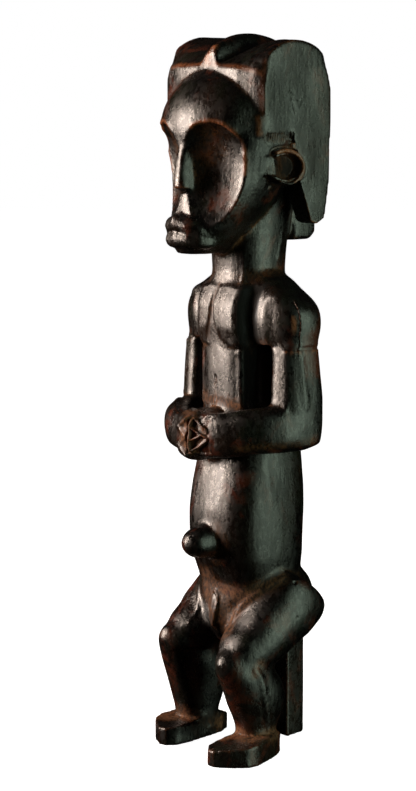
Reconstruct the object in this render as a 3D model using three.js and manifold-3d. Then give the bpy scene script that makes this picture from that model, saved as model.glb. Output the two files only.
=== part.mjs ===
// A standing guardian figure carved from one log, in the manner of the Fang of Gabon: a big head
// under a three-lobed coiffure, a long barrel-shaped body, joined hands, bent legs and a rear post.
// Millimetres, +Z up. The figure faces -Y and its left side is +X. It is modelled with Y = 0 under
// the ears, then moved so that the origin is on the floor in the middle of the footprint.
// Everything is one piece of wood, so the group holds one mesh.

import * as THREE from "three";
import { mergeVertices } from "three/addons/utils/BufferGeometryUtils.js";
import Module from "manifold-3d";

const wasm = await Module();
wasm.setup();

// Driving dimensions: the height of the whole figure and the levels that divide it.
const HEIGHT = 500;
const KNEE_Z = 0.146 * HEIGHT;
const NAVEL_Z = 0.295 * HEIGHT;
const HANDS_Z = 0.45 * HEIGHT;
const YOKE_BOTTOM_Z = 0.576 * HEIGHT;
const NECK_FOOT_Z = 0.652 * HEIGHT;
const CHIN_Z = 0.7 * HEIGHT;
const BROW_Z = 0.872 * HEIGHT;
const HAIRLINE_Z = 0.948 * HEIGHT;
const LOBE_BOTTOM_Z = 0.864 * HEIGHT;

const SHOULDER_X = 42;
const BREAST_X = 14;
const SHOULDER_SKEW = 0.2;
const BREAST_SKEW = 0.7;
const ARM_SKEW = 0.28;
const LEG_X = 32;
const CREST_X = 51;
const LOBE_DEPTH = 17;
const FRONT_LEAN = 9;
const BAND_LEVEL = 0.75;
const VALLEY_DEPTH = 1.2;
const LOBE_SWELL = 1.5;
const RIGHT_LOBE_RISE = 4;
const RIGHT_LOBE_FORWARD = 3;
const SCOOP_PITCH = THREE.MathUtils.degToRad(9);
const SCOOP_SPLAY = THREE.MathUtils.degToRad(33);
const ELBOW_RISE = 5.5;
const LEFT_FOREARM_HEIGHT = 33;
const RIGHT_FOREARM_HEIGHT = 26;
const KNEE_LIFT = 4;
const RIGHT_SHIN_REACH = 3.5;
const FINGER_SLANT = THREE.MathUtils.degToRad(31);
const FINGER_PITCH = 6.4;
const FINGER_RIDGE = 2.4;
const LEFT_TOE_OUT = THREE.MathUtils.degToRad(11);
const RIGHT_TOE_OUT = THREE.MathUtils.degToRad(-3);
const LEFT_TOE_REACH = 5;
const RIGHT_HEEL_REACH = 6;

const WOOD = new THREE.MeshStandardMaterial({ color: 0x2a1a12, roughness: 0.42, metalness: 0 });

// A closed surface as a solid, with its shared corners merged.
function solid(geometry) {
  const bare = geometry.clone();
  bare.deleteAttribute("normal");
  bare.deleteAttribute("uv");
  const merged = mergeVertices(bare, 1e-3);
  return new wasm.Manifold(
    new wasm.Mesh({
      numProp: 3,
      vertProperties: merged.attributes.position.array,
      triVerts: new Uint32Array(merged.index.array),
    }),
  );
}

// A solid as a surface that can be shown.
function geometryOf(shape) {
  const { vertProperties, triVerts } = shape.getMesh();
  const geometry = new THREE.BufferGeometry();
  geometry.setAttribute("position", new THREE.BufferAttribute(vertProperties, 3));
  geometry.setIndex(new THREE.BufferAttribute(triVerts, 1));
  return geometry;
}

// Reads a table smoothly: rows are [key, value, value, ...] with rising keys, and the answer at any
// key is a list of values on smooth curves through the rows.
function smoothTable(rows) {
  const slope = (i, c) => {
    const before = rows[Math.max(i - 1, 0)];
    const after = rows[Math.min(i + 1, rows.length - 1)];
    return (after[c] - before[c]) / (after[0] - before[0]);
  };
  return (key) => {
    let i = 0;
    while (i < rows.length - 2 && key > rows[i + 1][0]) i += 1;
    const span = rows[i + 1][0] - rows[i][0];
    const t = THREE.MathUtils.clamp((key - rows[i][0]) / span, 0, 1);
    const t2 = t * t;
    const t3 = t2 * t;
    return rows[i].slice(1).map((value, k) => {
      const c = k + 1;
      return (
        (2 * t3 - 3 * t2 + 1) * value +
        (t3 - 2 * t2 + t) * span * slope(i, c) +
        (3 * t2 - 2 * t3) * rows[i + 1][c] +
        (t3 - t2) * span * slope(i + 1, c)
      );
    });
  };
}

// The point at an angle on a superellipse of half-size 1: power 2 is round, more is squarer.
function rounded(angle, power) {
  const bend = (v) => Math.sign(v) * Math.abs(v) ** (2 / power);
  return [bend(Math.cos(angle)), bend(Math.sin(angle))];
}

// Moves each vertex of a unit cylinder, given as angle, share of the radius and share of the height.
function remap(sides, rings, place) {
  const geometry = new THREE.CylinderGeometry(1, 1, 1, sides, rings);
  const p = geometry.attributes.position;
  for (let i = 0; i < p.count; i += 1) {
    const radius = Math.hypot(p.getX(i), p.getZ(i)) > 0.5 ? 1 : 0;
    const angle = Math.atan2(-p.getZ(i), p.getX(i));
    p.setXYZ(i, ...place(angle, radius, p.getY(i) + 0.5));
  }
  return solid(geometry);
}

// An upright mass from level sections: rows are [z, half-width, front y, widest y, back y]. Skew moves
// the inner side forward and the outer side back by that share of their distance from the middle.
function column(rows, sides, rings, power = 2, shiftX = 0, skew = 0) {
  const at = smoothTable(rows);
  const low = rows[0][0];
  const high = rows[rows.length - 1][0];
  return remap(sides, rings, (angle, radius, t) => {
    const z = low + (high - low) * t;
    const [half, front, widest, back] = at(z);
    const [across, along] = rounded(angle, power);
    const reach = along < 0 ? widest - front : back - widest;
    const offset = radius * across * half;
    return [shiftX + offset, widest + radius * along * reach + skew * offset, z];
  });
}

// A limb along a smooth line through its stations: each is [x, y, z, half-width, half-depth], and
// the half-width lies along the direction named side. Both ends close with a round cap. Skew slides
// the section along its depth by that share of the way across.
function limb(stations, side, sides, rings, power = 2, capShare = 0.12, skew = 0) {
  const line = new THREE.CatmullRomCurve3(
    stations.map(([x, y, z]) => new THREE.Vector3(x, y, z)),
    false,
    "centripetal",
  );
  const sizes = smoothTable(stations.map((s, i) => [i / (stations.length - 1), s[3], s[4]]));
  const across = new THREE.Vector3(...side);
  return remap(sides, rings, (angle, radius, share) => {
    const t = (1 - Math.cos(Math.PI * share)) / 2;
    const centre = line.getPoint(t);
    const ahead = line.getTangent(t);
    const wide = across.clone().addScaledVector(ahead, -across.dot(ahead)).normalize();
    const deep = new THREE.Vector3().crossVectors(ahead, wide);
    const [halfWidth, halfDepth] = sizes(t);
    const fromEnd = Math.min(t, 1 - t, capShare) / capShare;
    const cap = Math.max(Math.sqrt(1 - (1 - fromEnd) ** 2), 0.12);
    const [u, v] = rounded(angle, power);
    centre.addScaledVector(wide, radius * cap * halfWidth * u);
    centre.addScaledVector(deep, radius * cap * (halfDepth * v - skew * halfWidth * u));
    return centre.toArray();
  });
}

function ellipsoid(centre, radii, around = 24, up = 16) {
  const geometry = new THREE.SphereGeometry(1, around, up);
  geometry.rotateX(Math.PI / 2);
  geometry.scale(...radii);
  geometry.translate(...centre);
  return solid(geometry);
}

// A flat outline in the YZ plane, given thickness along X from x0 to x1, with rounded edges.
function sideSlab(outline, x0, x1, bevel, bevelSteps = 2) {
  const geometry = new THREE.ExtrudeGeometry(outline, {
    depth: x1 - x0 - 2 * bevel,
    bevelEnabled: bevel > 0,
    bevelSize: bevel,
    bevelOffset: -bevel,
    bevelThickness: bevel,
    bevelSegments: bevelSteps,
    curveSegments: 5,
  });
  geometry.rotateX(Math.PI / 2);
  geometry.rotateZ(Math.PI / 2);
  geometry.translate(x0 + bevel, 0, 0);
  return solid(geometry);
}

// A flat outline in the XY plane, raised from z0 to z1.
function planSlab(points, z0, z1) {
  const outline = new THREE.Shape(points.map(([x, y]) => new THREE.Vector2(x, y)));
  const geometry = new THREE.ExtrudeGeometry(outline, { depth: z1 - z0, bevelEnabled: false });
  geometry.translate(0, 0, z0);
  return solid(geometry);
}

const join = (...shapes) => shapes.reduce((sum, shape) => sum.add(shape));
const mirrored = (shape) => shape.mirror([1, 0, 0]);
const bothSides = (shape) => shape.add(mirrored(shape));

// The trunk: a long squarish barrel that swells to the belly and is cut in above the legs.
function trunk() {
  return column(
    [
      [104, 28, -19, 2, 31],
      [114, 32.5, -25.5, 2, 33.5],
      [124, 34.5, -29.5, 2, 35.5],
      [138, 37, -34.5, 2, 36],
      [153, 37.5, -36.5, 2, 36],
      [168, 37.5, -36.5, 2, 37],
      [186, 36.5, -33.5, 2, 37.5],
      [208, 34.5, -29, 3, 36],
      [234, 31.5, -26, 4, 34],
      [262, 29.5, -26.5, 5, 32.5],
      [288, 29.5, -26, 5, 32],
      [310, 27, -23, 5, 30],
      [334, 20, -19, 5, 24],
    ],
    24,
    14,
    2.8,
  );
}

function navel() {
  return limb(
    [
      [0, -28, NAVEL_Z + 1, 12, 12],
      [0, -40, NAVEL_Z + 1, 11.5, 11],
      [0, -56.5, NAVEL_Z, 9.5, 9],
    ],
    [1, 0, 0],
    14,
    6,
    2,
    0.3,
  );
}

// A shoulder: a rounded block over the arm, separated from the breast by a shallow valley.
function shoulder() {
  return column(
    [
      [YOKE_BOTTOM_Z - 6, 16, -13, 2, 18],
      [290, 18.5, -15, 2, 20],
      [298, 20.5, -16.5, 2, 21.5],
      [306, 20.5, -17, 2, 22],
      [313, 18.5, -16.5, 2, 21.5],
      [319, 13, -15, 2, 20],
      [325, 4, -12, 2, 15],
    ],
    18,
    8,
    2.3,
    SHOULDER_X,
    SHOULDER_SKEW,
  );
}

// Chest and shoulders stand proud of the trunk and the arms, with a cut edge below.
function yoke() {
  const slope = column(
    [
      [YOKE_BOTTOM_Z - 4, 54, -16, 5, 23],
      [296, 57, -17, 5, 25],
      [306, 58, -17.5, 5, 25],
      [314, 56.5, -17.5, 5, 24],
      [321, 51.5, -16.5, 5, 23],
      [328, 43, -15, 5, 22],
      [337, 25, -12, 5, 20],
    ],
    22,
    7,
    2.7,
  );
  const breast = column(
    [
      [YOKE_BOTTOM_Z - 5, 9, -21, -8, 5],
      [290, 11.5, -25.5, -8, 5],
      [297, 12.5, -29.5, -8, 5],
      [306, 13, -31.5, -8, 5],
      [315, 13, -31, -8, 5],
      [323, 11.5, -27, -8, 5],
      [332, 7, -18, -8, 5],
    ],
    16,
    7,
    2.4,
    BREAST_X,
    BREAST_SKEW,
  );
  const breastbone = column(
    [
      [YOKE_BOTTOM_Z - 5, 7, -23, -8, 5],
      [300, 8, -28, -8, 5],
      [316, 8, -27.5, -8, 5],
      [330, 6, -19, -8, 5],
    ],
    10,
    4,
    2,
  );
  const below = planSlab([[-90, -60], [90, -60], [90, 60], [-90, 60]], 200, YOKE_BOTTOM_Z);
  return join(slope, bothSides(shoulder()), bothSides(breast), breastbone).subtract(below);
}

function neck() {
  return column(
    [
      [NECK_FOOT_Z - 20, 25, -20, 2, 27],
      [NECK_FOOT_Z + 8, 24, -21, 2, 26],
      [350, 24.5, -22, 2, 27],
      [375, 27, -22, 3, 30],
      [402, 32, -20, 4, 33],
    ],
    20,
    6,
    2.5,
  );
}

// An arm, bent at the elbow, with the forearm carried in a curve to the middle of the belly.
function arm(forearmHeight) {
  const elbowZ = HANDS_Z + ELBOW_RISE;
  const half = forearmHeight / 2;
  const upper = limb(
    [
      [48.5, 2.5, 314, 11, 13.5],
      [49, 2.5, 288, 11, 14.5],
      [50.5, 3, 262, 12, 16.5],
      [50.5, 3.5, elbowZ + 6, 12.5, 17],
      [50, 5, elbowZ - half, 12, 15],
    ],
    [1, 0, 0],
    14,
    7,
    2.8,
    0.07,
    ARM_SKEW,
  );
  const fore = limb(
    [
      [50, 13, elbowZ - 0.5, 0.9 * half, 12.5],
      [49, -8, elbowZ, half, 13],
      [39.5, -26, elbowZ - 1, 0.5 * half + 8, 12.5],
      [21, -41, HANDS_Z + 1, 0.5 * half + 7.7, 11],
      [-3, -45, HANDS_Z, 0.5 * half + 6.7, 10],
    ],
    [0, 0, 1],
    14,
    11,
    2.7,
    0.1,
  );
  return upper.add(fore);
}

// The joined hands: one squarish block in front of the belly, with slanting ridges for the fingers.
function hands() {
  const fists = column(
    [
      [HANDS_Z - 18, 7, -51, -44, -28],
      [HANDS_Z - 14, 13, -56, -44, -24],
      [HANDS_Z, 15, -57, -44, -20],
      [HANDS_Z + 14, 13, -55, -44, -24],
      [HANDS_Z + 18, 7, -50, -44, -28],
    ],
    18,
    6,
    2.6,
  );
  const ridges = [-1.5, -0.5, 0.5, 1.5].map((step, i) => {
    const bar = new THREE.BoxGeometry(16, 10, FINGER_RIDGE);
    bar.rotateY(i % 2 === 0 ? FINGER_SLANT : -FINGER_SLANT);
    bar.translate(0, -53.5, HANDS_Z + step * FINGER_PITCH);
    return solid(bar);
  });
  return join(fists, ...ridges);
}

// A bent leg: a heavy thigh that leans forward to the knee, and a shin that swells at the calf.
function leg(kneeLift, shinReach) {
  const kneeZ = KNEE_Z + kneeLift;
  const thigh = limb(
    [
      [25, 24.5, 112.5, 22.5, 23],
      [27.5, 16.5, 104.5, 25.5, 27],
      [28.5, -2, 92 + 0.3 * kneeLift, 23.5, 23.5],
      [30, -20, 78.5 + 0.6 * kneeLift, 20, 20],
      [LEG_X, -42, kneeZ + 0.5, 13, 13],
    ],
    [1, 0, 0],
    16,
    10,
    2.3,
    0.08,
  );
  const shin = column(
    [
      [6, 13.5, -31 - shinReach, -17, -4],
      [16, 13, -31.5 - shinReach, -17, -4.5],
      [26, 14.5, -34.5 - shinReach, -15, 1],
      [kneeZ - 36, 16, -39 - shinReach, -14, 4],
      [kneeZ - 24, 17, -43 - shinReach, -16, 5],
      [kneeZ - 13, 16.5, -48 - 0.5 * shinReach, -21, -1],
      [kneeZ - 4, 14.5, -52.5, -28, -9],
      [kneeZ + 3, 11.5, -51.5, -34, -18],
      [kneeZ + 7, 6, -48.5, -38, -28],
    ],
    16,
    9,
    2.2,
    LEG_X,
  );
  return thigh.add(shin);
}

// A foot, narrow at the heel, with its outer toes cut off obliquely, turned about the ankle.
function foot(turn, toeReach, heelReach) {
  const outline = [
    [-14, -46], [-9, -53], [-3, -54.5], [7, -49], [17, -40], [19, -32], [15.5, -16],
    [12, -5], [9, 1], [3, 4.5], [-5, 4.5], [-10, 0], [-12, -14], [-14, -32],
  ].map(([x, y]) => {
    const reach = y < -30 ? -toeReach : 0;
    const heel = y > 0 ? heelReach : 0;
    return new THREE.Vector2(x, y + reach + heel).rotateAround(new THREE.Vector2(), turn).toArray();
  });
  const sole = planSlab(
    outline.map(([x, y]) => [x + LEG_X, y - 4]),
    0,
    24,
  );
  const wedge = sideSlab(
    new THREE.Shape(
      [[-66, -1], [-66, 11], [-57, 12.5], [-44, 14], [-30, 15.5], [-6, 16], [3, 11], [6, 6], [6, -1]].map(
        ([y, z]) => new THREE.Vector2(y > 0 ? y + heelReach : y, z),
      ),
    ),
    5,
    75,
    0,
  );
  return sole.intersect(wedge);
}

// The post behind the legs: a stout plank that runs from the buttocks to the floor.
function post() {
  return planSlab([[-17, 25], [17, 25], [14, 44], [-14, 44]], 0, 102);
}

function buttock() {
  return ellipsoid([17, 21, 107], [20, 23, 22], 14, 10);
}

// The wedge between the thighs, with the member in front of it.
function loin() {
  const wedge = column(
    [
      [74, 5, -24, -17, -8],
      [84, 13, -28, -14, 4],
      [97, 22, -28, -10, 12],
      [111, 31, -28, -4, 20],
      [124, 33, -26, 0, 26],
    ],
    16,
    6,
    2.8,
  );
  const member = limb(
    [
      [0, -26, 112, 4, 4],
      [0, -28, 101, 5.5, 4.5],
      [0, -29.5, 90, 4.5, 4],
      [0, -29, 84, 2, 2.5],
    ],
    [1, 0, 0],
    12,
    6,
    2,
    0.2,
  );
  return wedge.add(member);
}

// The head below the hair: a domed forehead over a hollowed face that narrows to the mouth.
function headMass() {
  return column(
    [
      [CHIN_Z, 12, -58, -45, -22],
      [360, 21, -60, -40, -8],
      [372, 30, -58, -34, 6],
      [388, 38, -56, -26, 20],
      [406, 44, -55, -18, 28],
      [424, 49, -58, -14, 30],
      [BROW_Z, 50.3, -61, -13, 30],
      [450, 47.5, -58, -13, 28],
      [464, 38, -50, -12, 24],
      [HAIRLINE_Z, 24, -37, -12, 14],
    ],
    26,
    14,
    2.1,
  );
}

// Each half of the face is one wide scoop, so that the two meet in the ridge of the nose.
function faceHollow() {
  const geometry = new THREE.SphereGeometry(1, 22, 16);
  geometry.rotateX(Math.PI / 2);
  geometry.scale(36, 22.5, 43);
  geometry.rotateX(-SCOOP_PITCH);
  geometry.rotateZ(SCOOP_SPLAY);
  geometry.translate(28.5, -62, 398);
  return solid(geometry);
}

function nose() {
  return limb(
    [
      [0, -48, 440, 4.5, 6],
      [0, -50, 424, 4.5, 8],
      [0, -53, 406, 5.5, 9],
      [0, -54, 392, 7, 9],
    ],
    [1, 0, 0],
    12,
    6,
    2.6,
    0.06,
  );
}

function muzzle() {
  const lip = (z, drop, reach, thick) =>
    limb(
      [
        [-19, -42, z - drop, thick * 0.6, thick * 0.6],
        [-13, -55, z - drop * 0.45, thick, thick],
        [0, -reach, z, thick * 1.15, thick],
        [13, -55, z - drop * 0.45, thick, thick],
        [19, -42, z - drop, thick * 0.6, thick * 0.6],
      ],
      [0, 0, 1],
      10,
      10,
      2,
      0.08,
    );
  return join(lip(372, 11, 61, 5.5), lip(361, 4, 60, 5.5));
}

function ear() {
  const ring = ellipsoid([44, -6, 409.5], [9, 14.5, 13], 14, 10);
  const hollow = ellipsoid([53, -11, 409.5], [7.5, 12.5, 9.5], 12, 8);
  return ring.subtract(hollow);
}

// The top of the coiffure. A steep-sided middle lobe stands up between two broad side lobes, and the
// side lobes end in a level band over the forehead. The band leans out towards the middle. The right
// lobe is a little higher and further forward, and the front of the middle lobe slopes down on its
// right, as the carver left them.
function lobes() {
  const [back, front] = [32.5, -27];
  const outer = smoothTable([
    [front, 464], [-25, 478], [-21, 486.5], [-12, 492], [-3, 494.5], [10, 494], [20.8, 490.2],
    [27.5, 484.5], [30.9, 477], [back, 462],
  ]);
  const inner = smoothTable([
    [front, 476.5], [-18, 485], [-5, 490], [8, 493.5], [20, 491], [back, 474],
  ]);
  const middle = smoothTable([
    [front, 491.5], [-15, 497.5], [0, 500], [12, 498.5], [24, 495], [back, 488],
  ]);
  const wall = 0.175;
  const valley = 0.235;
  const shoulderOfLobe = 0.29;
  const rimOfLobe = 0.88;
  const rightHalf = [-1, -rimOfLobe, -0.6, -shoulderOfLobe, -valley, -wall, -0.05];
  const leftHalf = [0.06, wall, valley, shoulderOfLobe, 0.6, rimOfLobe, 1];
  const shares = [...rightHalf, ...leftHalf];
  const depths = 10;
  const geometry = new THREE.BoxGeometry(1, 1, 1, shares.length - 1, depths, 1);
  const p = geometry.attributes.position;
  for (let i = 0; i < p.count; i += 1) {
    const share = shares[Math.round((p.getX(i) + 0.5) * (shares.length - 1))];
    const y = THREE.MathUtils.lerp(front, back, p.getY(i) + 0.5);
    const off = Math.abs(share);
    const [edge, rim, crest] = [outer(y)[0], inner(y)[0], middle(y)[0]];
    const toFront = 1 - THREE.MathUtils.clamp((y - front) / 14, 0, 1);
    const outward = THREE.MathUtils.clamp((off - shoulderOfLobe) / (rimOfLobe - shoulderOfLobe), 0, 1);
    const slope = share < 0 ? THREE.MathUtils.clamp((0.06 - share) / valley, 0, 1) * toFront : 0;
    let top = THREE.MathUtils.lerp(crest, rim, slope);
    if (off > wall) top = rim - VALLEY_DEPTH * (1 - toFront);
    if (off > valley) top = THREE.MathUtils.lerp(rim, edge, outward * (1 - BAND_LEVEL * toFront));
    if (off > 0.5 && off < rimOfLobe) top += LOBE_SWELL * (1 - toFront);
    if (off > rimOfLobe) top = edge;
    const lean = FRONT_LEAN * (1 - off ** 3.2) * toFront;
    const right = share < -wall ? off : 0;
    const forward = lean + RIGHT_LOBE_FORWARD * right * toFront;
    const z = p.getZ(i) > 0 ? top + RIGHT_LOBE_RISE * right : LOBE_BOTTOM_Z;
    p.setXYZ(i, share * CREST_X, y - forward, z);
  }
  return solid(geometry);
}

// The middle lobe hangs behind the neck, the side lobes hang behind the ears.
function hangingLobes() {
  const middle = sideSlab(
    new THREE.Shape(
      [[10, 440], [20, 492], [34, 486], [45, 470], [50, 440], [49, 362], [44, 357], [28, 357], [24, 400]].map(
        ([y, z]) => new THREE.Vector2(y, z),
      ),
    ),
    -19,
    19,
    4,
  );
  const side = sideSlab(
    new THREE.Shape(
      [
        [-3, 434], [3, 462], [29, 466], [32.5, 462], [32.8, 440], [31.5, 399], [27.7, 374], [20.4, 370],
        [15.5, 372], [6, 397], [2, 408], [3, 418],
      ].map(([y, z]) => new THREE.Vector2(y, z)),
    ),
    CREST_X - LOBE_DEPTH,
    CREST_X,
    0,
  );
  return join(middle, bothSides(side));
}

const head = join(
  headMass().subtract(bothSides(faceHollow())),
  nose(),
  muzzle(),
  bothSides(ear()),
  lobes(),
  hangingLobes(),
);

const figure = join(
  trunk(),
  navel(),
  yoke(),
  neck(),
  arm(LEFT_FOREARM_HEIGHT),
  mirrored(arm(RIGHT_FOREARM_HEIGHT)),
  hands(),
  leg(-KNEE_LIFT, 0),
  mirrored(leg(KNEE_LIFT, RIGHT_SHIN_REACH)),
  bothSides(buttock()),
  foot(LEFT_TOE_OUT, LEFT_TOE_REACH, 0),
  mirrored(foot(RIGHT_TOE_OUT, 0, RIGHT_HEEL_REACH)),
  post(),
  loin(),
  head,
);

const mesh = new THREE.Mesh(geometryOf(figure), WOOD);
mesh.name = "figure";

// The origin moves to the middle of the footprint, level with the soles.
mesh.geometry.computeBoundingBox();
const middle = mesh.geometry.boundingBox.getCenter(new THREE.Vector3());
mesh.position.set(-middle.x, -middle.y, 0);

const group = new THREE.Group();
group.add(mesh);

export default group;
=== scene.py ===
# %% [markdown]
# # A carved guardian figure
# The object is a standing wooden figure, cut from one log with an adze and a knife, then oiled and
# smoked until it was nearly black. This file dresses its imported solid: it loads the solid as a
# fixed frame, softens and sculpts a copy of it, and gives that copy its wood and its light.
#
# Blender works in metres. Places and widths on the carving are easier to read in millimetres, so
# they are written that way and multiplied by MM where a step needs metres. The figure faces -Y,
# its own left side is +X, and Z is the height above the floor.

import math

import bmesh
import bpy
import numpy as np
from mathutils import Matrix, Vector
from mathutils.kdtree import KDTree


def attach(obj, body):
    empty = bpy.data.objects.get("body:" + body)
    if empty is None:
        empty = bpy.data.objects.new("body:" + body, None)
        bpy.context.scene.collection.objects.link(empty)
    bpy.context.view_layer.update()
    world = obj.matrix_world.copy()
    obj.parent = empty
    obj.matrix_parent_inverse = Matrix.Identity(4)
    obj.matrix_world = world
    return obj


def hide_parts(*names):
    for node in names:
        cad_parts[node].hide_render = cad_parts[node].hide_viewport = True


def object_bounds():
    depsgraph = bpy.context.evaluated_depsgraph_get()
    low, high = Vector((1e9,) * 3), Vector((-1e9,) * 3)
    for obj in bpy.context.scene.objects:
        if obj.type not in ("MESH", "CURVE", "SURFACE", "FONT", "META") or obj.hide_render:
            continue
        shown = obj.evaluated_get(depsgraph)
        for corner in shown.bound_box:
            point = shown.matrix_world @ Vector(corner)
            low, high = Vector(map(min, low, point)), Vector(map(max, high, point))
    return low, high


MM = 0.001
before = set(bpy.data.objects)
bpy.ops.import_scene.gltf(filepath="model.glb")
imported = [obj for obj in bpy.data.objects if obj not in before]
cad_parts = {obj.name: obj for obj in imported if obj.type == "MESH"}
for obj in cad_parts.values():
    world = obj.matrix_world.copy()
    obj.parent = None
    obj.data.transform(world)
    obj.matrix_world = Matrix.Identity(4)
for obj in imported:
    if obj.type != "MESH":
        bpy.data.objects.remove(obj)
CAD_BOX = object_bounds()

# %% [markdown]
# ## Roughing out
# A carver first blocks out the large masses, and here the solid is that block. Its surface is made
# of flat facets that end where one mass meets the next. A voxel remesh wraps it in an even skin of
# small squares, which closes those seams and gives the later steps enough points to move. The
# solid's sharp edges are written down first, because the remesh forgets which of them were cut.

# %% Copy the solid and wrap it in an even skin
FULL_STEP = 0.0011
SKIN_STEP = FULL_STEP
CREASE = math.radians(36)
EDGE_POINT_STEP = 0.001


def settle(piece):
    """Turns the piece's modifiers into its mesh."""
    bpy.context.view_layer.update()
    graph = bpy.context.evaluated_depsgraph_get()
    mesh = bpy.data.meshes.new_from_object(piece.evaluated_get(graph))
    piece.modifiers.clear()
    piece.data = mesh
    return mesh


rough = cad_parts["figure"].data.copy()
rough.materials.clear()
bm = bmesh.new()
bm.from_mesh(rough)
bmesh.ops.remove_doubles(bm, verts=bm.verts, dist=1e-6)
sharp_points = []
for edge in bm.edges:
    if len(edge.link_faces) == 2 and edge.calc_face_angle() > CREASE:
        steps = max(int(edge.calc_length() / EDGE_POINT_STEP), 1)
        start, end = edge.verts[0].co, edge.verts[1].co
        sharp_points += [start.lerp(end, i / steps) for i in range(steps + 1)]
bm.to_mesh(rough)
bm.free()
figure = bpy.data.objects.new("carved_figure", rough)
bpy.context.scene.collection.objects.link(figure)

skin = figure.modifiers.new("skin", "REMESH")
skin.mode = "VOXEL"
skin.voxel_size = SKIN_STEP
settle(figure)
print("skin", len(figure.data.vertices), "points;", len(sharp_points), "points on sharp edges")

# %% [markdown]
# ## Finer skin where the carving is fine
# The joined hands, the ears with the cut strands above them and the mouth carry the smallest
# marks. There the squares of the skin are halved, so that a cut one millimetre wide has a floor
# and two walls. Halving them everywhere would only slow the later steps down.

# %% Halve the squares around the small carving
FINE_BOXES = {
    "joined hands": ((-0.008, -0.056, 0.210), (0.028, -0.028, 0.242)),
    "left ear and strands": ((0.040, -0.022, 0.392), (0.056, 0.022, 0.438)),
    "right ear and strands": ((-0.056, -0.022, 0.392), (-0.040, 0.022, 0.438)),
    "mouth": ((-0.022, -0.060, 0.350), (0.022, -0.034, 0.382)),
    "scratches on the lobe": ((0.049, 0.002, 0.443), (0.053, 0.017, 0.463)),
}


def inside(co, box):
    return np.all((co > np.array(box[0])) & (co < np.array(box[1])), axis=1)


def coords(mesh):
    """The mesh's points as rows of x, y and z in metres."""
    co = np.empty(len(mesh.vertices) * 3, np.float32)
    mesh.vertices.foreach_get("co", co)
    return co.reshape(-1, 3).astype(float)


def put(mesh, co):
    mesh.vertices.foreach_set("co", co.astype(np.float32).ravel())
    mesh.update()


bm = bmesh.new()
bm.from_mesh(figure.data)
chosen = np.any([inside(coords(figure.data), box) for box in FINE_BOXES.values()], axis=0)
fine_edges = [e for e in bm.edges if chosen[e.verts[0].index] and chosen[e.verts[1].index]]
bmesh.ops.subdivide_edges(bm, edges=fine_edges, cuts=1, use_grid_fill=True)
bmesh.ops.triangulate(bm, faces=[f for f in bm.faces if len(f.verts) > 4])
bm.to_mesh(figure.data)
bm.free()
print("finer skin", len(figure.data.vertices), "points")

# %% [markdown]
# ## Brushes
# Sculpting by hand means brushes with a soft edge. In code, a brush is a number from 0 to 1 for
# each point of the skin, worked out from where the point lies. Blocks with soft edges are enough
# to tell the parts of this figure apart, and they can be read and changed one by one.

# %% Soft-edged brushes
def rising(start, end, x):
    """0 up to start, 1 from end on, and a smooth step between them."""
    t = np.clip((x - start) / (end - start), 0, 1)
    return t * t * (3 - 2 * t)


def falling(start, end, x):
    return 1 - rising(start, end, x)


def between(start, end, x, fade):
    """1 from start to end, falling to 0 over the distance fade outside them."""
    return rising(start - fade, start, x) * falling(end, end + fade, x)


def zone(places, **limits):
    """1 in a block of space and fading to 0 around it. Each of x, y and z may be limited by its
    (start, end, fade) in millimetres. x counts from the middle, so a zone lies on both sides."""
    share = 1.0
    for values, axis in zip((np.abs(places[0]), places[1], places[2]), "xyz"):
        if axis in limits:
            start, end, fade = limits[axis]
            share = share * between(start, end, values, fade)
    return share


print("halfway along its soft edge a brush has", float(rising(0, 1, 0.5)))

# %% [markdown]
# ## Smoothing and measuring
# Rubbing wears down whatever stands above its surroundings. Here each point is drawn towards the
# mean of its neighbours, with a brush saying how far. Filling moves points outwards only, so it
# raises the floor of a valley and spares the ridges. Numpy moves all the points at once, where a
# loop over the mesh would take minutes.

# %% Smoothing, filling and measuring distances
def normals_of(mesh):
    found = np.empty(len(mesh.vertices) * 3, np.float32)
    mesh.vertex_normals.foreach_get("vector", found)
    return found.reshape(-1, 3).astype(float)


def neighbours(mesh):
    """Every edge twice, as the points it leads from and the points it leads to."""
    pairs = np.empty(len(mesh.edges) * 2, np.int32)
    mesh.edges.foreach_get("vertices", pairs)
    pairs = pairs.reshape(-1, 2)
    return np.concatenate([pairs[:, 0], pairs[:, 1]]), np.concatenate([pairs[:, 1], pairs[:, 0]])


def averaged(values, near):
    """For each point, the mean of its neighbours' values."""
    here, there = near
    count = len(values)
    total = np.bincount(here, minlength=count).clip(1)
    columns = [np.bincount(here, values[there, k], count) / total for k in range(values.shape[1])]
    return np.stack(columns, 1)


def soften(co, near, weight, rounds):
    for _ in range(rounds):
        co = co + (weight * 0.5)[:, None] * (averaged(co, near) - co)
    return co


def fill(co, near, normals_now, weight, rounds):
    """Raises the floors of valleys and leaves ridges alone."""
    for _ in range(rounds):
        step = averaged(co, near) - co
        outward = np.sum(step * normals_now, axis=1)
        co = co + normals_now * (weight * np.clip(outward, 0, None))[:, None]
    return co


def tree_of(points):
    """A search tree that finds the nearest of a set of points quickly."""
    tree = KDTree(len(points))
    for i, p in enumerate(points):
        tree.insert(p, i)
    tree.balance()
    return tree


def distance_to(points, co, reach, where=None):
    """Each point's distance in metres to the nearest of a set of points, no more than reach."""
    tree = tree_of(points)
    result = np.full(len(co), reach)
    for i in range(len(co)) if where is None else np.nonzero(where)[0]:
        result[i] = min(tree.find(co[i])[2], reach)
    return result


def both_sides(points):
    """The points and their mirror images on the figure's other side."""
    return np.concatenate([points, points * np.array([-1, 1, 1])])


mesh = figure.data
near = neighbours(mesh)
co = coords(mesh)
places = x, y, z = (co * 1000).T
print("each point has", round(len(near[0]) / len(co), 2), "neighbours")

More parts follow.
